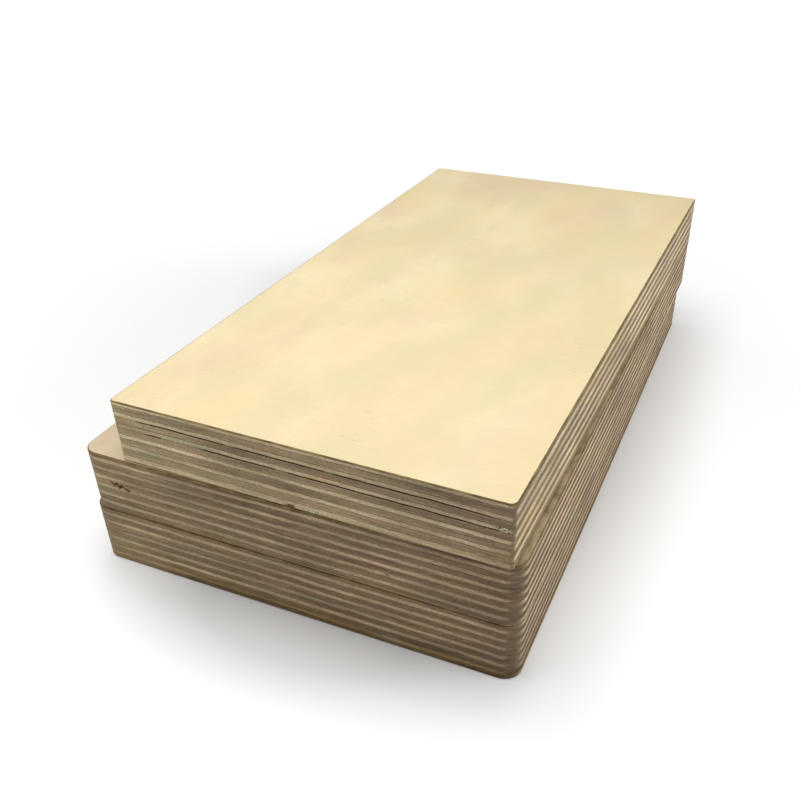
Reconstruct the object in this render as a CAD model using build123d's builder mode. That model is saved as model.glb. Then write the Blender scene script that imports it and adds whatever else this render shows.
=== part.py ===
from build123d import *
import os

# A stack of three thick plywood boards, lying flat, one on the other.
# The stack is seen from its near end: +X runs right along that end, +Y runs away along the
# boards, +Z is up. The bottom board lies square with the axes, the two above it a little turned.
# All lengths are in millimetres and all angles in degrees.
# A board is glued up from an odd number of veneers. The odd ones, counted from the upper face,
# share one grain direction: the face veneer, the cores and the back veneer. The even ones are
# the crossbands. A board is as thick as its veneers together. Its face was sanded more than its
# back, so the face veneer is the thinner of the two.

# The bottom board: thirteen veneers, rounded corners.
bottom_width = 120.0
bottom_length = 204.0
bottom_corner = 4.5
bottom_veneers = 13
bottom_face = 1.15
bottom_crossband = 1.28
bottom_core = 1.45
bottom_back = 1.42

# The middle board: of the same make, cut a little longer.
middle_width = 119.5
middle_length = 207.0
middle_corner = 4.5
middle_veneers = 13
middle_face = 0.95
middle_crossband = 1.28
middle_core = 1.43
middle_back = 1.72

# The top board: eleven veneers with thick crossbands, narrower, with its corners just taken off.
top_width = 104.0
top_length = 200.5
top_corner = 1.1
top_veneers = 11
top_face = 1.15
top_crossband = 1.85
top_core = 1.27
top_back = 2.02

# How the upper boards were put down, from the middle of the bottom board: right, away and
# turned anticlockwise.
middle_right = 0.7
middle_away = 1.7
middle_turn = -0.25
top_right = 7.65
top_away = -1.6
top_turn = -1.0

# The arrises round the upper and under face of a board are sanded off to this radius.
arris = 0.35


def board_plane(right, away, turn, height):
    """The level plane at a board's middle, turned with the board."""
    return Plane((right, away, height), z_dir=(0, 0, 1)).rotated((0, 0, turn))


def board_outline(plane, width, length, corner):
    """The outline that a board was sawn to."""
    with BuildSketch(plane) as outline:
        RectangleRounded(width, length, corner)
    return outline.sketch


def veneer_name(board, number, count):
    """Veneers are counted from the upper face down, and the even ones are the crossbands."""
    if number == 1:
        return f"{board}_face_veneer"
    if number == count:
        return f"{board}_back_veneer"
    if number % 2 == 0:
        return f"{board}_crossband_{number:02d}"
    return f"{board}_core_{number:02d}"


def veneer_thicknesses(count, face, crossband, core, back):
    """The thickness of each veneer of a board, from the upper face down."""
    inner = [crossband if number % 2 == 0 else core for number in range(2, count)]
    return [face, *inner, back]


# The plan of the stack sets its middle, and the origin lies on the floor below that point.
bottom_plan = board_outline(board_plane(0, 0, 0, 0), bottom_width, bottom_length, bottom_corner)
middle_plan = board_outline(
    board_plane(middle_right, middle_away, middle_turn, 0), middle_width, middle_length, middle_corner
)
top_plan = board_outline(
    board_plane(top_right, top_away, top_turn, 0), top_width, top_length, top_corner
)
stack_middle = Compound([bottom_plan, middle_plan, top_plan]).bounding_box().center()

bottom_layup = veneer_thicknesses(
    bottom_veneers, bottom_face, bottom_crossband, bottom_core, bottom_back
)
middle_layup = veneer_thicknesses(
    middle_veneers, middle_face, middle_crossband, middle_core, middle_back
)
top_layup = veneer_thicknesses(top_veneers, top_face, top_crossband, top_core, top_back)

# Each board rests on the one below.
middle_height = sum(bottom_layup)
top_height = middle_height + sum(middle_layup)


def glue_up(board, layup, right, away, turn, height, width, length, corner):
    """Lay a board's veneers from the back veneer up, and write each as a piece of its own."""
    count = len(layup)
    level = height
    for number in range(count, 0, -1):
        thickness = layup[number - 1]
        plane = board_plane(right - stack_middle.X, away - stack_middle.Y, turn, level)
        with BuildPart() as veneer:
            with BuildSketch(plane):
                RectangleRounded(width, length, corner)
            extrude(amount=thickness)
            # Only the two outer veneers have an arris to sand.
            if number == 1:
                fillet(veneer.faces().sort_by(Axis.Z)[-1].edges(), radius=arris)
            if number == count:
                fillet(veneer.faces().sort_by(Axis.Z)[0].edges(), radius=arris)
        veneer.part.label = veneer_name(board, number, count)
        export_step(veneer.part, f"parts/{veneer.part.label}.step")
        level += thickness


os.makedirs("parts", exist_ok=True)

glue_up(
    "bottom_board", bottom_layup, 0, 0, 0, 0,
    bottom_width, bottom_length, bottom_corner,
)
glue_up(
    "middle_board", middle_layup, middle_right, middle_away, middle_turn, middle_height,
    middle_width, middle_length, middle_corner,
)
glue_up(
    "top_board", top_layup, top_right, top_away, top_turn, top_height,
    top_width, top_length, top_corner,
)
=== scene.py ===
import math

import bmesh
import bpy
from mathutils import Matrix, Vector


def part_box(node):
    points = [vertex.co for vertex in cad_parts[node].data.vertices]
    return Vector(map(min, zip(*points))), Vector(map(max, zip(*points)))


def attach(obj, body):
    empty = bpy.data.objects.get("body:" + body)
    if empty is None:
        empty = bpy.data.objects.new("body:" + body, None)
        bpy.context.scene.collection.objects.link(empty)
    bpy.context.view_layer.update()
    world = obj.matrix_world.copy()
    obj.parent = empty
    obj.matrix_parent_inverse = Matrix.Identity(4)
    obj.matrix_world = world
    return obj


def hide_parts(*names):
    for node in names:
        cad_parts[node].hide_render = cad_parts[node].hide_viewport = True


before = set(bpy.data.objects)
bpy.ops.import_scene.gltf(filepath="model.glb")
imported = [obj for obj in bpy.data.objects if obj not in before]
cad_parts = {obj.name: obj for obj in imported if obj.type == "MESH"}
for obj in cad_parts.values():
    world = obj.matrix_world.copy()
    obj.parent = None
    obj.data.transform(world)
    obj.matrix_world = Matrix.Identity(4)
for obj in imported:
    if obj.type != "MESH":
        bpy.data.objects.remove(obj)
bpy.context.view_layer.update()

# A stack of three plywood boards. Every veneer of the frame is made again with its sawn edge, at
# the frame's own place and thickness. Lengths are in metres, angles in degrees.
MM = 0.001

# The boards as they were sawn, and how far each was turned on the stack, anticlockwise. The odd
# veneers of a board, counted from its face, have their grain along the board or across it.
BOARDS = {
    "bottom_board": {
        "width": 120.0 * MM, "length": 204.0 * MM, "corner": 4.5 * MM, "turn": 0.0,
        "odd_grain": "along", "even_grain": "across",
    },
    "middle_board": {
        "width": 119.5 * MM, "length": 207.0 * MM, "corner": 4.5 * MM, "turn": -0.25,
        "odd_grain": "along", "even_grain": "across",
    },
    "top_board": {
        "width": 104.0 * MM, "length": 200.5 * MM, "corner": 1.1 * MM, "turn": -1.0,
        "odd_grain": "across", "even_grain": "along",
    },
}

# How finely the sawn edge is divided, so that it can take the marks of the saw.
RIM_CUTS = 100
CORNER_STEPS = 8
EDGE_ROWS = 3
RIM_BAND = 0.9 * MM

# The arris of a board's upper and under face, and the fine groove where two veneers meet.
ARRIS = 0.35 * MM
ARRIS_STEPS = 3
GROOVE = 0.06 * MM
TINY = 0.01 * MM

# The sawn edge wanders in and out, and cut fibre ends are rougher than fibre sides. A blank is
# cut this much inside the board's outline, so that no mark stands out past it.
SAW_WANDER = 0.10 * MM
END_ROUGHNESS = 0.09 * MM
SIDE_ROUGHNESS = 0.05 * MM
SAW_ALLOWANCE = 0.08 * MM
# The veneers wave up and down where they were pressed.
PRESS_WAVE = 0.36 * MM
PRESS_RIPPLE = 0.32 * MM

# Where the glue has let go on the top board's near end: under which veneer, and over which
# stretches from the board's left corner.
OPEN_GLUE_LINES = {
    3: ((8, 33), (35, 60), (62, 79), (76, 99)),
    5: ((10, 14), (26, 46), (49, 67), (64, 80), (78, 100.5)),
}
LIP = 0.18 * MM
CRACK_DEPTH = 0.42 * MM
CRACK_LIFT = 0.07 * MM
# The near right corner of the top face is rounded by three cuts: how far each goes along the near
# end, along the side and down.
CORNER_CUTS = ((2.6, 1.2, 0.8), (1.5, 2.2, 1.1), (0.8, 3.4, 0.9))
# The crooked split in the middle board's near end: how far along and how far down from its face.
CROOKED_SPLIT = (
    (8.3, 7.95), (9.0, 9.05), (9.8, 8.0), (10.6, 9.25), (11.3, 8.3), (12.2, 8.9), (13.5, 9.55),
)

# Slots of a veneer's finishes.
EDGE, FLAT, RUBBED, GLUE, TORN, DARK = range(6)


def paint(red, green, blue):
    """A colour as it looks, from 0 to 255, turned into the shader's linear numbers."""
    linear = []
    for value in (red, green, blue):
        share = value / 255
        linear.append(share / 12.92 if share <= 0.04045 else ((share + 0.055) / 1.055) ** 2.4)
    return (*linear, 1.0)


def clamp(value, low=0.0, high=1.0):
    return max(low, min(high, value))


# Selecting, as by hand


def deselect_all():
    """Nothing is selected, and no object is in edit mode."""
    if bpy.context.object and bpy.context.object.mode == "EDIT":
        bpy.ops.object.mode_set(mode="OBJECT")
    bpy.ops.object.select_all(action="DESELECT")


def pick(piece):
    """Only this piece is selected, and it is the active one."""
    deselect_all()
    piece.select_set(True)
    bpy.context.view_layer.objects.active = piece


def select_parts(piece, kind, wanted):
    """In edit mode, select the vertices, edges or faces that wanted() says yes to."""
    bpy.context.tool_settings.mesh_select_mode = (kind == "verts", kind == "edges", kind == "faces")
    bpy.ops.mesh.select_all(action="DESELECT")
    mesh = bmesh.from_edit_mesh(piece.data)
    found = [part for part in getattr(mesh, kind) if wanted(part)]
    for part in found:
        part.select_set(True)
    mesh.select_flush_mode()
    bmesh.update_edit_mesh(piece.data)
    return len(found)


# The blanks: one for each kind of veneer of a board, sawn and eased, with its under face at 0


def rim_direction(board, point):
    """The level way out of the board at a point of its sawn rim, or nothing inside the rim."""
    inner_x = board["width"] / 2 - board["corner"]
    inner_y = board["length"] / 2 - board["corner"]
    out = Vector((
        point.x - clamp(point.x, -inner_x, inner_x),
        point.y - clamp(point.y, -inner_y, inner_y),
        0,
    ))
    if out.length < board["corner"] - 0.6 * RIM_BAND:
        return Vector((0, 0, 0))
    return out.normalized()


def saw_slab(name, board, thickness):
    """A flat slab of the board's outline, with its rim divided finely. It stays in edit mode."""
    deselect_all()
    bpy.ops.mesh.primitive_plane_add(size=1, location=(0, 0, 0))
    slab = bpy.context.active_object
    slab.name = name
    slab.data.name = name
    width = board["width"] - 2 * SAW_ALLOWANCE
    length = board["length"] - 2 * SAW_ALLOWANCE
    slab.scale = (width, length, 1)
    bpy.ops.object.transform_apply(location=True, rotation=True, scale=True)
    bpy.ops.object.mode_set(mode="EDIT")
    bpy.ops.mesh.select_all(action="SELECT")
    bpy.ops.mesh.bevel(offset=board["corner"], segments=CORNER_STEPS, affect="VERTICES")
    for axis, reach in ((0, width), (1, length)):
        straight = reach - 2 * board["corner"]
        select_parts(
            slab, "edges",
            lambda edge: abs((edge.verts[0].co - edge.verts[1].co)[axis]) > 0.9 * straight,
        )
        bpy.ops.mesh.subdivide(number_cuts=RIM_CUTS)
    # The cuts run right across the plate, and only its rim has use for them.
    bpy.ops.mesh.select_all(action="SELECT")
    bpy.ops.mesh.dissolve_faces()
    bpy.ops.mesh.select_all(action="SELECT")
    bpy.ops.mesh.inset(thickness=RIM_BAND, use_boundary=True)
    bpy.ops.mesh.select_all(action="SELECT")
    bpy.ops.mesh.extrude_region_move(TRANSFORM_OT_translate={"value": (0, 0, thickness)})
    bpy.ops.mesh.select_all(action="SELECT")
    bpy.ops.mesh.normals_make_consistent(inside=False)
    return slab


def ease_rim(slab, level, size, steps):
    """Round the slab's rim, or take its edge off, at one of its two faces."""
    def on_rim(edge):
        if any(abs(end.co.z - level) > TINY for end in edge.verts):
            return False
        return any(abs(face.normal.z) < 0.5 for face in edge.link_faces)

    select_parts(slab, "edges", on_rim)
    bpy.ops.mesh.bevel(offset=size, segments=steps, affect="EDGES", profile=0.5)


def cut_row(height):
    """One more row of faces round the sawn edge, from this height up."""
    bpy.ops.mesh.select_all(action="SELECT")
    bpy.ops.mesh.bisect(plane_co=(0, 0, height), plane_no=(0, 0, 1))


def group_verts(slab, name, weigh):
    """A vertex group in which each vertex has the weight that weigh() gives its place."""
    group = slab.vertex_groups.new(name=name)
    by_weight = {}
    for vertex in slab.data.vertices:
        weight = round(weigh(vertex.co), 2)
        if weight > 0:
            by_weight.setdefault(weight, []).append(vertex.index)
    for weight, members in by_weight.items():
        group.add(members, weight, "REPLACE")


def finish_blank(slab, finishes, first, last):
    """The sawn edge, the flat faces, the sanded arris and the glue groove each have a finish."""
    for finish in finishes:
        slab.data.materials.append(finish)
    for face in slab.data.polygons:
        level = abs(face.normal.z)
        if level > 0.98:
            face.material_index = FLAT
        elif level < 0.05:
            face.material_index = EDGE
        else:
            outer = first if face.normal.z > 0 else last
            face.material_index = RUBBED if outer else GLUE


def saw_blank(name, board, thickness, finishes, first=False, last=False):
    """A blank for one kind of veneer, eased on its outer side, grouped for the marks of the saw."""
    slab = saw_slab(name, board, thickness)
    ease_rim(slab, thickness, ARRIS if first else GROOVE, ARRIS_STEPS if first else 1)
    ease_rim(slab, 0, ARRIS if last else GROOVE, ARRIS_STEPS if last else 1)
    for row in range(1, EDGE_ROWS):
        cut_row(thickness * row / EDGE_ROWS)
    bpy.ops.object.mode_set(mode="OBJECT")
    finish_blank(slab, finishes, first, last)

    def pressed(at):
        if (first and at.z > 0.5 * thickness) or (last and at.z < 0.5 * thickness):
            return 0
        return rim_direction(board, at).length

    group_verts(slab, "ends", lambda at: abs(rim_direction(board, at).y))
    group_verts(slab, "sides", lambda at: abs(rim_direction(board, at).x))
    group_verts(slab, "pressed rim", pressed)
    height = slab.data.attributes.new("up_the_veneer", "FLOAT", "POINT")
    height.data.foreach_set("value", [vertex.co.z / thickness for vertex in slab.data.vertices])
    return slab


# Damage, cut into a veneer before it is put in its place. Along is how far a place lies from the
# board's left corner, up how high it lies over the veneer's under face.


def on_near_end(board, along_from, along_to, up_from, up_to):
    """Says yes to a face or vertex of the near end's sawn edge that lies between these places."""
    left = -board["width"] / 2
    near = -board["length"] / 2

    def inside(part):
        at = part.co if isinstance(part, bmesh.types.BMVert) else part.calc_center_median()
        if at.y > near + 0.6 * RIM_BAND:
            return False
        return along_from < at.x - left < along_to and up_from < at.z < up_to

    return inside


def give_finish(veneer, slot):
    """The selected faces take this finish."""
    veneer.active_material_index = slot
    bpy.ops.object.material_slot_assign()


def open_glue_line(veneer, board, thickness, under, stretches):
    """Draw the near end back at the veneer's under or upper rim, where the glue has let go."""
    level = 0 if under else thickness
    into = 1 if under else -1
    cut_row(level + into * LIP)
    low, high = sorted((level - into * TINY, level + into * (LIP - TINY)))
    inner_low, inner_high = sorted((level + into * TINY, level + into * (LIP - TINY)))
    for start, end in stretches:
        select_parts(veneer, "faces", on_near_end(board, start * MM, end * MM, inner_low, inner_high))
        give_finish(veneer, DARK)
        # In three goes, each over less of the stretch, so that the crack tapers off.
        for share in (0.0, 0.14, 0.28):
            inset = share * (end - start)
            place = on_near_end(board, (start + inset) * MM, (end - inset) * MM, low, high)
            select_parts(veneer, "verts", place)
            bpy.ops.transform.translate(value=(0, CRACK_DEPTH / 3, into * CRACK_LIFT / 3))


def crumble(veneer, place, cuts, depth, scatter, slot, seed):
    """Break up a small place of the sawn edge, and push it in."""
    select_parts(veneer, "faces", place)
    bpy.ops.mesh.subdivide(number_cuts=cuts)
    give_finish(veneer, slot)
    select_parts(veneer, "verts", place)
    bpy.ops.transform.translate(value=(0, depth, 0))
    bpy.ops.transform.vertex_random(offset=scatter, seed=seed)


def split(veneer, board, line, under, spread, depth):
    """A ragged split that follows a short crooked line of (along, down) points, on a veneer whose
    under face lies so far down from the board's face."""
    left = -board["width"] / 2
    points = [Vector((left + along * MM, under - down * MM)) for along, down in line]

    def near_line(part):
        at = part.co if isinstance(part, bmesh.types.BMVert) else part.calc_center_median()
        if at.y > -board["length"] / 2 + 0.45 * RIM_BAND:
            return False
        here = Vector((at.x, at.z))
        for start, end in zip(points, points[1:]):
            way = end - start
            share = clamp((here - start).dot(way) / way.length_squared)
            if (here - (start + share * way)).length < spread:
                return True
        return False

    margin = 0.5 * MM
    start, end = points[0].x - left - margin, points[-1].x - left + margin
    select_parts(veneer, "faces", on_near_end(board, start, end, GROOVE, under))
    bpy.ops.mesh.subdivide(number_cuts=3)
    select_parts(veneer, "faces", near_line)
    give_finish(veneer, DARK)
    select_parts(veneer, "verts", near_line)
    bpy.ops.transform.translate(value=(0, depth, 0))


def knock_off_corner(veneer, board, thickness, along_end, along_side, drop):
    """The near right corner of the face is gone: so far along each edge at the top, and no
    more that far down."""
    right, near = board["width"] / 2, -board["length"] / 2
    on_end = Vector((right - along_end, near, thickness))
    on_side = Vector((right, near + along_side, thickness))
    foot = Vector((right, near, thickness - drop))
    outward = (on_side - on_end).cross(foot - on_end).normalized()
    if outward.x < 0:
        outward = -outward
    bpy.ops.mesh.select_all(action="SELECT")
    bpy.ops.mesh.bisect(plane_co=foot, plane_no=outward, use_fill=True, clear_outer=True)
    select_parts(veneer, "faces", lambda face: face.normal.dot(outward) > 0.999)
    give_finish(veneer, RUBBED)


def damage(veneer, board_name, number, thickness, under):
    """What the photograph shows knocked off, split or come unglued on this veneer, whose under
    face lies so far down from the board's face."""
    board = BOARDS[board_name]
    if board_name == "top_board":
        if number in OPEN_GLUE_LINES:
            open_glue_line(veneer, board, thickness, True, OPEN_GLUE_LINES[number])
        if number - 1 in OPEN_GLUE_LINES:
            open_glue_line(veneer, board, thickness, False, OPEN_GLUE_LINES[number - 1])
        if number == 1:
            for along_end, along_side, drop in CORNER_CUTS:
                knock_off_corner(veneer, board, thickness, along_end * MM, along_side * MM, drop * MM)
            # The press left the board's face flat, so the cut corner takes no part in its waves.
            select_parts(veneer, "verts", lambda vertex: vertex.co.z > 0.4 * thickness)
            veneer.vertex_groups.active_index = veneer.vertex_groups["pressed rim"].index
            bpy.ops.object.vertex_group_remove_from()
            nick = on_near_end(board, 90.2 * MM, 91.3 * MM, 0.7 * MM, thickness - 0.06 * MM)
            crumble(veneer, nick, 1, 0.12 * MM, 0.05 * MM, RUBBED, 3)
        if number == 5:
            chip = on_near_end(board, 99.8 * MM, 102.9 * MM, 0.1 * MM, 1.15 * MM)
            crumble(veneer, chip, 3, 0.08 * MM, 0.12 * MM, TORN, 5)
        if number == 11:
            notch = on_near_end(board, 48.3 * MM, 50.0 * MM, -TINY, 0.9 * MM)
            crumble(veneer, notch, 1, 0.4 * MM, 0.15 * MM, DARK, 8)
            torn_bit = on_near_end(board, 54.6 * MM, 57.4 * MM, 0.1 * MM, 1.3 * MM)
            crumble(veneer, torn_bit, 3, 0.08 * MM, 0.12 * MM, TORN, 9)
    if board_name == "middle_board":
        if number in (7, 8):
            split(veneer, board, CROOKED_SPLIT, under, 0.26 * MM, 0.5 * MM)
        if number == 10:
            fleck = on_near_end(board, 86.0 * MM, 87.2 * MM, 0.4 * MM, 1.0 * MM)
            crumble(veneer, fleck, 1, 0.25 * MM, 0.08 * MM, DARK, 4)


# The marks of saw and press


def cloud(name, size, depth=2):
    """A cloudy texture whose lumps are about this large."""
    texture = bpy.data.textures.new(name, "CLOUDS")
    texture.noise_scale = size
    texture.noise_depth = depth
    return texture


wander_cloud = cloud("saw wander", 25 * MM)
fibre_cloud = cloud("torn fibres", 1.6 * MM)
wave_cloud = cloud("press wave", 24 * MM)
ripple_cloud = cloud("press ripple", 7 * MM)


def move_rim(veneer, group, direction, texture, strength):
    """Move a group of vertices to and fro by a texture, and apply the modifier."""
    push = veneer.modifiers.new(texture.name, "DISPLACE")
    push.texture = texture
    push.texture_coords = "LOCAL"
    push.direction = direction
    push.strength = strength
    push.mid_level = 0.5
    push.vertex_group = group
    bpy.ops.object.modifier_apply(modifier=push.name)


def mark_edge(veneer, grain):
    for group, direction, cut_ends in (("ends", "Y", grain == "along"), ("sides", "X", grain == "across")):
        move_rim(veneer, group, direction, wander_cloud, SAW_WANDER)
        move_rim(veneer, group, direction, fibre_cloud, END_ROUGHNESS if cut_ends else SIDE_ROUGHNESS)
    move_rim(veneer, "pressed rim", "Z", wave_cloud, PRESS_WAVE)
    move_rim(veneer, "pressed rim", "Z", ripple_cloud, PRESS_RIPPLE)


def lay_veneer(blank, board_name, node, number, grain, board_high):
    """A copy of the blank, damaged where it should be, laid at the node's place and marked."""
    board = BOARDS[board_name]
    low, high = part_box(node)
    veneer = blank.copy()
    veneer.data = blank.data.copy()
    veneer.name = node + "_sawn"
    veneer.data.name = veneer.name
    bpy.context.scene.collection.objects.link(veneer)
    pick(veneer)
    bpy.ops.object.mode_set(mode="EDIT")
    damage(veneer, board_name, number, high.z - low.z, board_high - low.z)
    bpy.ops.object.mode_set(mode="OBJECT")
    veneer.rotation_euler = (0, 0, math.radians(board["turn"]))
    veneer.location = ((low.x + high.x) / 2, (low.y + high.y) / 2, low.z)
    bpy.ops.object.transform_apply(location=True, rotation=True, scale=True)
    mark_edge(veneer, grain)
    bpy.ops.object.shade_smooth_by_angle(angle=math.radians(30))
    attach(veneer, "root")
    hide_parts(node)
    return veneer


# Finishes


class Finish:
    """A material under the maker's hand: each method adds one step and gives its output."""

    def __init__(self, name, roughness):
        self.material = bpy.data.materials.new(name)
        self.material.use_nodes = True
        self.nodes = self.material.node_tree.nodes
        self.links = self.material.node_tree.links
        self.shader = self.nodes["Principled BSDF"]
        self.shader.inputs["Roughness"].default_value = roughness
        self.where = self.nodes.new("ShaderNodeTexCoord")

    def feed(self, socket, value):
        """Put a number, a colour or another step's output into a socket."""
        if isinstance(value, bpy.types.NodeSocket):
            self.links.new(value, socket)
        else:
            socket.default_value = value

    def noise(self, lump, detail=2.0, seed=0.0):
        """A soft noise with lumps of this size each way."""
        place = self.nodes.new("ShaderNodeMapping")
        place.inputs["Scale"].default_value = [1 / size for size in lump]
        self.links.new(self.where.outputs["Object"], place.inputs["Vector"])
        step = self.nodes.new("ShaderNodeTexNoise")
        step.noise_dimensions = "4D"
        step.inputs["W"].default_value = seed
        step.inputs["Scale"].default_value = 1.0
        step.inputs["Detail"].default_value = detail
        self.links.new(place.outputs["Vector"], step.inputs["Vector"])
        return step.outputs["Fac"]

    def fit(self, value, low, high, to_low=0.0, to_high=1.0):
        """The stretch from low to high spread from to_low to to_high, and held at its ends."""
        step = self.nodes.new("ShaderNodeMapRange")
        self.feed(step.inputs["Value"], value)
        for name, number in (("From Min", low), ("From Max", high), ("To Min", to_low), ("To Max", to_high)):
            self.feed(step.inputs[name], number)
        return step.outputs["Result"]

    def maths(self, operation, first, second=0.0):
        step = self.nodes.new("ShaderNodeMath")
        step.operation = operation
        self.feed(step.inputs[0], first)
        self.feed(step.inputs[1], second)
        return step.outputs[0]

    def mix(self, share, first, second, how="MIX"):
        """Two colours together: the second lies on the first by this share."""
        step = self.nodes.new("ShaderNodeMix")
        step.data_type = "RGBA"
        step.blend_type = how
        self.feed(step.inputs[0], share)
        self.feed(step.inputs[6], first)
        self.feed(step.inputs[7], second)
        return step.outputs[2]

    def mix_numbers(self, share, first, second):
        step = self.nodes.new("ShaderNodeMix")
        self.feed(step.inputs[0], share)
        self.feed(step.inputs[2], first)
        self.feed(step.inputs[3], second)
        return step.outputs[0]

    def facing(self, axis):
        """How much of the surface faces along an axis: 1 squarely, a half at 45 degrees."""
        step = self.nodes.new("ShaderNodeSeparateXYZ")
        self.links.new(self.where.outputs["Normal"], step.inputs[0])
        return self.maths("MULTIPLY", step.outputs[axis], step.outputs[axis])

    def place(self, axis):
        """How far along an axis of the stack a point lies, in metres."""
        step = self.nodes.new("ShaderNodeSeparateXYZ")
        self.links.new(self.where.outputs["Object"], step.inputs[0])
        return step.outputs[axis]

    def distance(self, middle, reach):
        """How far a point lies from a middle, measured in how far it reaches each way."""
        step = self.nodes.new("ShaderNodeVectorMath")
        step.operation = "SUBTRACT"
        self.links.new(self.where.outputs["Object"], step.inputs[0])
        step.inputs[1].default_value = middle
        share = self.nodes.new("ShaderNodeVectorMath")
        share.operation = "DIVIDE"
        self.links.new(step.outputs[0], share.inputs[0])
        share.inputs[1].default_value = reach
        length = self.nodes.new("ShaderNodeVectorMath")
        length.operation = "LENGTH"
        self.links.new(share.outputs[0], length.inputs[0])
        return length.outputs["Value"]

    def up_the_veneer(self):
        """How high a point lies in its veneer's edge, from 0 to 1."""
        step = self.nodes.new("ShaderNodeAttribute")
        step.attribute_name = "up_the_veneer"
        return step.outputs["Fac"]

    def soiled_and_shaded(self, wood):
        """Painted shade, with some brown dirt, where a board lies on what carries it: a thin line at the
        floor and between the lower boards, a wider one right under the top board, and less of it on the sides."""
        height = self.place("Z")
        from_floor = self.maths("MULTIPLY", height, 2.5)
        from_middle = self.maths("ABSOLUTE", self.maths("SUBTRACT", height, MIDDLE_JOINT))
        from_middle = self.maths("MULTIPLY", from_middle, 3.0)
        under_top = self.maths("SUBTRACT", TOP_JOINT, height)
        from_top = self.maths("MAXIMUM", under_top, self.maths("MULTIPLY", under_top, -8.0))
        nearest = self.maths("MINIMUM", self.maths("MINIMUM", from_floor, from_middle), from_top)
        ragged = self.fit(self.noise((5 * MM, 5 * MM, 2 * MM), detail=3, seed=51), 0.3, 0.7, -0.3 * MM, 0.3 * MM)
        clear_of_shade_and_dirt = self.fit(self.maths("ADD", nearest, ragged), 0.15 * MM, 1.15 * MM)
        clear_of_shade_and_dirt = self.mix_numbers(self.facing("X"), clear_of_shade_and_dirt, self.fit(clear_of_shade_and_dirt, 0.0, 1.0, 0.7, 1.0))
        return self.mix(1.0, wood, self.mix(clear_of_shade_and_dirt, DIRT_AND_SHADE, WHITE), "MULTIPLY")

    def shaded(self, wood, tone):
        """A colour made lighter or darker by a number."""
        step = self.nodes.new("ShaderNodeVectorMath")
        step.operation = "SCALE"
        self.feed(step.inputs[0], wood)
        self.feed(step.inputs["Scale"], tone)
        return step.outputs[0]

    def colour(self, value):
        self.feed(self.shader.inputs["Base Color"], value)

    def roughness(self, value):
        self.feed(self.shader.inputs["Roughness"], value)

    def bump(self, height, distance, strength=1.0):
        step = self.nodes.new("ShaderNodeBump")
        step.inputs["Strength"].default_value = strength
        step.inputs["Distance"].default_value = distance
        self.links.new(height, step.inputs["Height"])
        self.links.new(step.outputs["Normal"], self.shader.inputs["Normal"])


WHITE = (1, 1, 1, 1)
# Where the boards meet, over the floor.
MIDDLE_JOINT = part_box("middle_board_back_veneer")[0].z
TOP_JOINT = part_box("top_board_back_veneer")[0].z
# Painted shade, with some brown dirt: the colour multiplied in at the floor and the joints.
DIRT_AND_SHADE = paint(178, 160, 120)
STAIN = paint(206, 194, 138)
OLIVE = paint(246, 247, 230)
MAUVE = paint(253, 241, 230)
HONEY = paint(238, 226, 178)
# The colour of the painted shadow on the middle board's right ledge.
LEDGE_SHADOW = paint(186, 182, 160)


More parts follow.
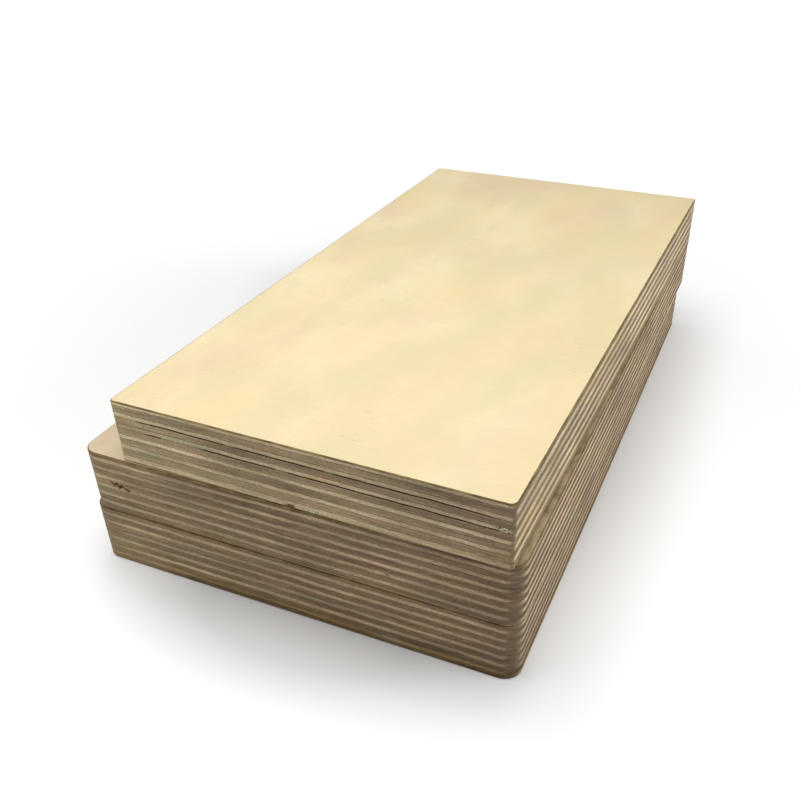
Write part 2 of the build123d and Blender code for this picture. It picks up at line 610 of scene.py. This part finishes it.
def sawn_edge(name, grain, fibre_sides, fibre_ends, blend, seed):
    """A veneer's sawn edge: fibre sides are light and silky, cut fibre ends dark and porous."""
    finish = Finish(name, 0.8)
    streaks = finish.fit(finish.noise((14 * MM, 14 * MM, 0.42 * MM), detail=4, seed=seed), 0.3, 0.7)
    fine = finish.fit(finish.noise((3 * MM, 3 * MM, 0.2 * MM), detail=3, seed=seed + 5), 0.3, 0.7)
    pores = finish.fit(finish.noise((0.7 * MM, 0.7 * MM, 0.3 * MM), detail=1, seed=seed + 13), 0.35, 0.75)
    grain_marks = finish.mix_numbers(0.4, streaks, fine)

    sides = finish.mix(grain_marks, fibre_sides["deep"], fibre_sides["bright"])
    ends = finish.mix(grain_marks, fibre_ends["deep"], fibre_ends["pale"])
    ends = finish.mix(finish.maths("MULTIPLY", pores, 0.4), ends, fibre_ends["pale"])
    checks = finish.noise((10 * MM, 10 * MM, 0.26 * MM), detail=2, seed=seed + 25)
    ends = finish.mix(finish.fit(checks, 0.61, 0.68, 0.0, 0.75), ends, fibre_ends["check"])

    cut_across = finish.facing("X" if grain == "across" else "Y")
    wood = finish.mix(cut_across, sides, ends)

    # The veneers run into each other a little, and dark glue shows here and there where they meet.
    up = finish.up_the_veneer()
    from_joint = finish.maths("MINIMUM", up, finish.maths("SUBTRACT", 1.0, up))
    ragged = finish.noise((3.5 * MM, 3.5 * MM, 0.7 * MM), detail=3, seed=seed + 31)
    from_joint = finish.maths("ADD", from_joint, finish.fit(ragged, 0.3, 0.7, -0.18, 0.18))
    wood = finish.mix(finish.fit(from_joint, 0.0, 0.38, 0.64, 0.0), wood, blend)
    glue = finish.fit(finish.noise((9 * MM, 9 * MM, 3 * MM), detail=3, seed=seed + 37), 0.42, 0.6, 0.0, 0.4)
    glue = finish.maths("MULTIPLY", glue, finish.fit(from_joint, -0.02, 0.09, 1.0, 0.0))
    wood = finish.mix(glue, wood, fibre_ends["check"])

    # Patches of tone, and a slow change from olive on the left to mauve on the right.
    drift = finish.fit(finish.place("X"), -0.06, 0.06, -0.14, 0.14)
    faded_and_shaded = finish.noise((26 * MM, 26 * MM, 9 * MM), detail=2, seed=seed + 43)
    faded_and_shaded = finish.fit(finish.maths("SUBTRACT", faded_and_shaded, drift), 0.42, 0.66, 0.0, 0.45)
    # Painted shade on the rounded corners, where the edge turns away from the light: the wood there goes towards
    # the blend colour.
    round_corner_shade = finish.maths("MULTIPLY", cut_across, finish.maths("SUBTRACT", 1.0, cut_across))
    round_corner_shade = finish.fit(round_corner_shade, 0.05, 0.25, 0.0, 0.75)
    near_left = finish.fit(finish.place("X"), -58 * MM, -40 * MM, 1.0, 0.0)
    low_down = finish.fit(finish.place("Z"), 13 * MM, 20 * MM, 0.8, 0.25)
    faded_and_shaded = finish.maths("MAXIMUM", faded_and_shaded, finish.maths("MULTIPLY", near_left, low_down))
    # Painted shade over the top board's joint: its lowest 2.6 mm go towards the blend colour.
    shade_over_top_joint = finish.fit(finish.place("Z"), TOP_JOINT + 1.2 * MM, TOP_JOINT + 2.6 * MM, 0.55, 0.0)
    shade_over_top_joint = finish.maths("MULTIPLY", shade_over_top_joint, finish.fit(finish.place("Z"), TOP_JOINT - TINY, TOP_JOINT))
    faded_and_shaded = finish.maths("MAXIMUM", faded_and_shaded, shade_over_top_joint)
    wood = finish.mix(finish.maths("MAXIMUM", faded_and_shaded, round_corner_shade), wood, blend)
    hue = finish.noise((9 * MM, 9 * MM, 3 * MM), detail=2, seed=seed + 21)
    hue = finish.fit(finish.maths("ADD", hue, drift), 0.35, 0.65)
    wood = finish.mix(1.0, wood, finish.mix(hue, OLIVE, MAUVE), "MULTIPLY")
    honeyed = finish.fit(finish.noise((13 * MM, 13 * MM, 4 * MM), detail=2, seed=seed + 41), 0.54, 0.68)
    wood = finish.mix(finish.maths("MULTIPLY", honeyed, 0.42), wood, HONEY, "MULTIPLY")
    stains = finish.fit(finish.noise((18 * MM, 18 * MM, 6 * MM), detail=2, seed=seed + 47), 0.4, 0.52)
    stains = finish.maths("MULTIPLY", stains, finish.fit(finish.place("Z"), 1.5 * MM, 5 * MM, 0.9, 0.0))
    wood = finish.mix(stains, wood, STAIN, "MULTIPLY")
    of_veneer = finish.noise((30 * MM, 30 * MM, 1.6 * MM), detail=2, seed=seed + 17)
    of_board = finish.noise((22 * MM, 22 * MM, 7 * MM), detail=2, seed=seed + 19)
    of_fibre = finish.noise((0.9 * MM, 0.9 * MM, 0.25 * MM), detail=2, seed=seed + 23)
    tone = finish.maths(
        "MULTIPLY", finish.fit(of_veneer, 0.35, 0.65, 0.76, 1.18), finish.fit(of_board, 0.35, 0.65, 0.83, 1.16)
    )
    tone = finish.maths("MULTIPLY", tone, finish.fit(of_fibre, 0.3, 0.7, 0.72, 1.28))
    # Painted shade: the rounded corners are darker.
    tone = finish.maths("MULTIPLY", tone, finish.fit(round_corner_shade, 0.0, 0.75, 1.0, 0.74))
    # Painted light: the left of the stack lighter and the right darker, as the light falls from the left.
    tone = finish.maths("MULTIPLY", tone, finish.fit(finish.place("X"), -0.06, 0.06, 1.07, 0.97))
    # Painted shade with dirt at the joints darkens the edge's colour.
    finish.colour(finish.soiled_and_shaded(finish.shaded(wood, tone)))
    finish.roughness(finish.fit(streaks, 0.0, 1.0, 0.88, 0.72))
    finish.bump(finish.mix_numbers(cut_across, grain_marks, pores), 0.06 * MM, 0.7)
    return finish.material


def sanded_face(name, grain, pale, warm, green, grey, dull, shadow_on_right_ledge=False):
    """The flat face of a board: pale, sanded smooth, with soft clouds and faint short flecks."""
    finish = Finish(name, 0.55)
    clouds = finish.fit(finish.noise((20 * MM, 40 * MM, 30 * MM), detail=4), 0.36, 0.64)
    rosy = finish.fit(finish.noise((20 * MM, 36 * MM, 30 * MM), detail=4, seed=4), 0.44, 0.64)
    greenish = finish.fit(finish.noise((16 * MM, 30 * MM, 30 * MM), detail=4, seed=8), 0.46, 0.66)
    wood = finish.mix(clouds, pale, warm)
    less_on_the_right = finish.fit(finish.place("X"), -0.02, 0.05, 0.95, 0.4)
    wood = finish.mix(finish.maths("MULTIPLY", rosy, less_on_the_right), wood, dull)
    wood = finish.mix(finish.maths("MULTIPLY", greenish, 0.9), wood, green)
    long, short = 5 * MM, 0.35 * MM
    fleck_size = (long, short, long) if grain == "across" else (short, long, long)
    streaks = finish.fit(finish.noise(fleck_size, detail=3, seed=2), 0.3, 0.7)
    wood = finish.mix(finish.fit(streaks, 0.0, 1.0, 0.16, 0.0), wood, grey)
    dash_size = (2.2 * MM, 0.5 * MM, 2 * MM) if grain == "across" else (0.5 * MM, 2.2 * MM, 2 * MM)
    dashes = finish.fit(finish.noise(dash_size, detail=1, seed=6), 0.66, 0.76, 0.0, 0.6)
    where_dashed = finish.fit(finish.noise((30 * MM, 45 * MM, 30 * MM), detail=1, seed=12), 0.48, 0.58)
    dashes = finish.maths("MULTIPLY", dashes, where_dashed)
    wood = finish.mix(dashes, wood, grey)
    if shadow_on_right_ledge:
        # Painted shadow, mottled, on the middle board's right ledge, where the top board shades it.
        mottle = finish.noise((2.5 * MM, 4 * MM, 4 * MM), detail=4, seed=15)
        mottle = finish.fit(mottle, 0.38, 0.6, 0.2, 1.0)
        edgewise = finish.fit(finish.place("X"), 52 * MM, 58 * MM)
        wood = finish.mix(finish.maths("MULTIPLY", mottle, edgewise), wood, LEDGE_SHADOW, "MULTIPLY")
    finish.colour(wood)
    finish.roughness(finish.fit(streaks, 0.0, 1.0, 0.62, 0.5))
    finish.bump(streaks, 0.01 * MM, 0.5)
    return finish.material


def plain_wear(name, light, dark, lump, roughness=0.8):
    """Two browns in patches, with a rough feel."""
    finish = Finish(name, roughness)
    patches = finish.fit(finish.noise(lump, detail=3, seed=2), 0.38, 0.62)
    finish.colour(finish.soiled_and_shaded(finish.mix(patches, dark, light)))
    finish.roughness(finish.fit(patches, 0.0, 1.0, roughness + 0.1, roughness - 0.05))
    finish.bump(patches, 0.04 * MM, 0.6)
    return finish.material


def tones(deep, bright):
    return {"deep": paint(*deep), "bright": paint(*bright)}


def end_tones(deep, pale, check):
    return {"deep": paint(*deep), "pale": paint(*pale), "check": paint(*check)}


# Veneers laid across the board show their fibre sides on its ends, those laid along it on its
# long sides. The long sides' colours have more contrast than the ends', a painted sheen: lighter fibre sides,
# darker fibre ends.
FIBRE_SIDES = {
    ("top_board", "across"): tones((184, 169, 140), (228, 216, 188)),
    ("top_board", "along"): tones((212, 197, 164), (246, 236, 208)),
    ("middle_board", "across"): tones((156, 137, 113), (208, 189, 163)),
    ("middle_board", "along"): tones((196, 178, 146), (244, 230, 202)),
    ("bottom_board", "across"): tones((154, 135, 110), (206, 188, 160)),
    ("bottom_board", "along"): tones((190, 172, 143), (235, 221, 195)),
}
FIBRE_ENDS = {
    ("top_board", "across"): end_tones((110, 94, 66), (152, 134, 102), (78, 62, 40)),
    ("top_board", "along"): end_tones((124, 105, 81), (175, 155, 129), (76, 60, 40)),
    ("middle_board", "across"): end_tones((74, 57, 35), (116, 97, 70), (62, 47, 28)),
    ("middle_board", "along"): end_tones((98, 79, 56), (146, 124, 98), (66, 51, 33)),
    ("bottom_board", "across"): end_tones((84, 67, 44), (124, 105, 78), (66, 50, 30)),
    ("bottom_board", "along"): end_tones((94, 75, 52), (142, 120, 94), (64, 48, 30)),
}
BLENDS = {
    "top_board": paint(176, 158, 128),
    "middle_board": paint(152, 131, 104),
    "bottom_board": paint(144, 124, 98),
}

top_face_finish = sanded_face(
    "sanded upper face", "across", paint(254, 236, 192), paint(249, 227, 177), paint(240, 225, 177),
    paint(216, 194, 152), paint(240, 218, 177),
)
# Painted shade: the bottom board's faces are darker, for its ledge that lies in shade under the middle board.
shaded_bottom_face_finish = sanded_face(
    "hidden faces in painted shade", "along", paint(196, 176, 140), paint(180, 160, 124), paint(170, 158, 122),
    paint(140, 122, 92), paint(166, 146, 114),
)
lower_face_finish = sanded_face(
    "sanded lower faces", "along", paint(238, 220, 188), paint(226, 204, 168), paint(214, 202, 164),
    paint(196, 176, 142), paint(218, 194, 162), shadow_on_right_ledge=True,
)
FACES = {
    "top_board": top_face_finish,
    "middle_board": lower_face_finish,
    "bottom_board": shaded_bottom_face_finish,
}
# The arrises of the top and bottom boards are coloured as a dark brown line.
arris_finish = plain_wear("dark arris", paint(154, 132, 84), paint(110, 88, 50), (5 * MM, 5 * MM, 1 * MM))
rubbed_finish = plain_wear("rubbed arris", paint(200, 182, 142), paint(150, 130, 94), (4 * MM, 4 * MM, 1 * MM))
ARRISES = {
    "top_board": arris_finish,
    "middle_board": rubbed_finish,
    "bottom_board": arris_finish,
}
glue_finish = plain_wear("glue line", paint(134, 114, 86), paint(84, 66, 44), (4 * MM, 4 * MM, 1 * MM), 0.6)
torn_finish = plain_wear("torn fibres", paint(254, 242, 210), paint(104, 84, 52), (0.5 * MM, 0.5 * MM, 0.3 * MM))
# Painted shade inside cracks, splits and notches: their faces are dark brown.
crack_shade_finish = plain_wear("painted shade inside a crack", paint(120, 95, 60), paint(56, 42, 24), (3 * MM, 3 * MM, 0.5 * MM), 0.9)


def finishes_for(board_name, grain, seed):
    """A veneer's six finishes, in the order of its slots."""
    edge = sawn_edge(
        f"{board_name} edge, grain {grain}", grain, FIBRE_SIDES[board_name, grain],
        FIBRE_ENDS[board_name, grain], BLENDS[board_name], seed,
    )
    return edge, FACES[board_name], ARRISES[board_name], glue_finish, torn_finish, crack_shade_finish


# The stack


def thickness_of(node):
    low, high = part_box(node)
    return high.z - low.z


for seed, (board_name, board) in enumerate(BOARDS.items()):
    layers = sorted(
        (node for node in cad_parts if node.startswith(board_name)),
        key=lambda node: -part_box(node)[0].z,
    )
    odd = finishes_for(board_name, board["odd_grain"], seed)
    even = finishes_for(board_name, board["even_grain"], seed)
    blanks = {
        "face": saw_blank(board_name + " face blank", board, thickness_of(layers[0]), odd, first=True),
        "crossband": saw_blank(board_name + " crossband blank", board, thickness_of(layers[1]), even),
        "core": saw_blank(board_name + " core blank", board, thickness_of(layers[2]), odd),
        "back": saw_blank(board_name + " back blank", board, thickness_of(layers[-1]), odd, last=True),
    }
    for number, node in enumerate(layers, start=1):
        grain = board["odd_grain"] if number % 2 == 1 else board["even_grain"]
        kind = "crossband" if number % 2 == 0 else "core"
        if number == 1:
            kind = "face"
        if number == len(layers):
            kind = "back"
        veneer = lay_veneer(blanks[kind], board_name, node, number, grain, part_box(layers[0])[1].z)
    for blank in blanks.values():
        bpy.data.objects.remove(blank)

# The floor: pale, and brighter to the camera further out, as a lit backdrop is

# Painted shadow: where the floor glows less, so that the shadow is deep there: the middle, how far it
# reaches each way, where in that reach it begins and ends, and how much glow is left.
SHADES = (
    ((0.003, -0.105, 0), (0.053, 0.024, 1), 0.55, 1.2, 0.05),
    ((0.062, 0.01, 0), (0.024, 0.085, 1), 0.4, 1.2, 0.22),
    ((-0.085, 0.085, 0), (0.04, 0.05, 1), 0.3, 1.2, 0.18),
)

deselect_all()
bpy.ops.mesh.primitive_plane_add(size=8, location=(0, 0, -0.02 * MM))
floor = bpy.context.active_object
floor.name = "floor"
floor_paint = Finish("white floor", 0.9)
floor_paint.colour((0.8, 0.8, 0.8, 1))
from_stack = floor_paint.distance((0, 0, 0), (1, 1, 1))
glow = 0.3
for middle, reach, begins, ends, left in SHADES:
    lit = floor_paint.fit(floor_paint.distance(middle, reach), begins, ends, left, 0.3)
    glow = floor_paint.maths("MINIMUM", glow, lit)
glow = floor_paint.maths("ADD", glow, floor_paint.fit(from_stack, 0.12, 0.35, 0.0, 0.3))
glow = floor_paint.maths("ADD", glow, floor_paint.fit(from_stack, 0.35, 0.9, 0.0, 0.45))
ray = floor_paint.nodes.new("ShaderNodeLightPath")
seen = floor_paint.maths("MAXIMUM", ray.outputs["Is Camera Ray"], ray.outputs["Is Glossy Ray"])
floor_paint.shader.inputs["Emission Color"].default_value = WHITE
floor_paint.feed(floor_paint.shader.inputs["Emission Strength"], floor_paint.maths("MULTIPLY", glow, seen))
floor.data.materials.append(floor_paint.material)

world = bpy.data.worlds.new("studio")
bpy.context.scene.world = world
world.use_nodes = True
backdrop = world.node_tree.nodes["Background"]
backdrop.inputs["Color"].default_value = WHITE
sky_ray = world.node_tree.nodes.new("ShaderNodeLightPath")
sky_strength = world.node_tree.nodes.new("ShaderNodeMapRange")
sky_strength.inputs["To Min"].default_value = 0.15
sky_strength.inputs["To Max"].default_value = 1.0
world.node_tree.links.new(sky_ray.outputs["Is Camera Ray"], sky_strength.inputs["Value"])
world.node_tree.links.new(sky_strength.outputs["Result"], backdrop.inputs["Strength"])


def hang_lamp(name, place, target, size, power):
    lamp = bpy.data.lights.new(name, "AREA")
    lamp.shape = "RECTANGLE"
    lamp.size, lamp.size_y = size, size
    lamp.energy = power
    holder = bpy.data.objects.new(name, lamp)
    bpy.context.scene.collection.objects.link(holder)
    holder.location = place
    holder.rotation_mode = "QUATERNION"
    holder.rotation_quaternion = (Vector(target) - Vector(place)).to_track_quat("-Z", "Y")


hang_lamp("soft box behind", (-0.25, 0.25, 0.9), (0, 0, 0), 0.8, 3.0)
hang_lamp("soft box over the near end", (-0.01, -0.1, 0.4), (-0.01, -0.1, 0), 0.2, 0.75)
hang_lamp("soft box on the right", (0.9, 0.18, 0.3), (0, 0, 0), 0.5, 4.0)
hang_lamp("fill from the front left", (-0.15, -0.27, 0.06), (0, -0.1, 0.03), 0.1, 0.13)

# The camera stands where the photograph was taken from: its eye, how far it looks to the left of
# +Y, down from level, and how far it leans. The focal length is in pixels of a frame 801 wide,
# and the optical centre lies a little off the middle of the frame.
EYE = (95.6 * MM, -236.4 * MM, 160.75 * MM)
HEADING = 24.13
LOOKING_DOWN = 34.0
LEAN = -1.08
FRAME_PIXELS = 801
FOCAL_PIXELS = 872.8
CENTRE_PIXELS = (420.05, 441.0)
SENSOR = 36.0

camera = bpy.data.cameras.new("camera")
camera.sensor_width = SENSOR
camera.lens = FOCAL_PIXELS * SENSOR / FRAME_PIXELS
camera.shift_x = (FRAME_PIXELS / 2 - CENTRE_PIXELS[0]) / FRAME_PIXELS
camera.shift_y = (CENTRE_PIXELS[1] - FRAME_PIXELS / 2) / FRAME_PIXELS
camera.clip_start = 0.01
camera.clip_end = 20
holder = bpy.data.objects.new("camera", camera)
bpy.context.scene.collection.objects.link(holder)
turned = Matrix.Rotation(math.radians(HEADING), 4, "Z")
tilted = Matrix.Rotation(math.radians(90 - LOOKING_DOWN), 4, "X")
leaned = Matrix.Rotation(math.radians(LEAN), 4, "Z")
holder.matrix_world = Matrix.Translation(EYE) @ turned @ tilted @ leaned
bpy.context.scene.camera = holder
bpy.context.scene.view_settings.view_transform = "Standard"
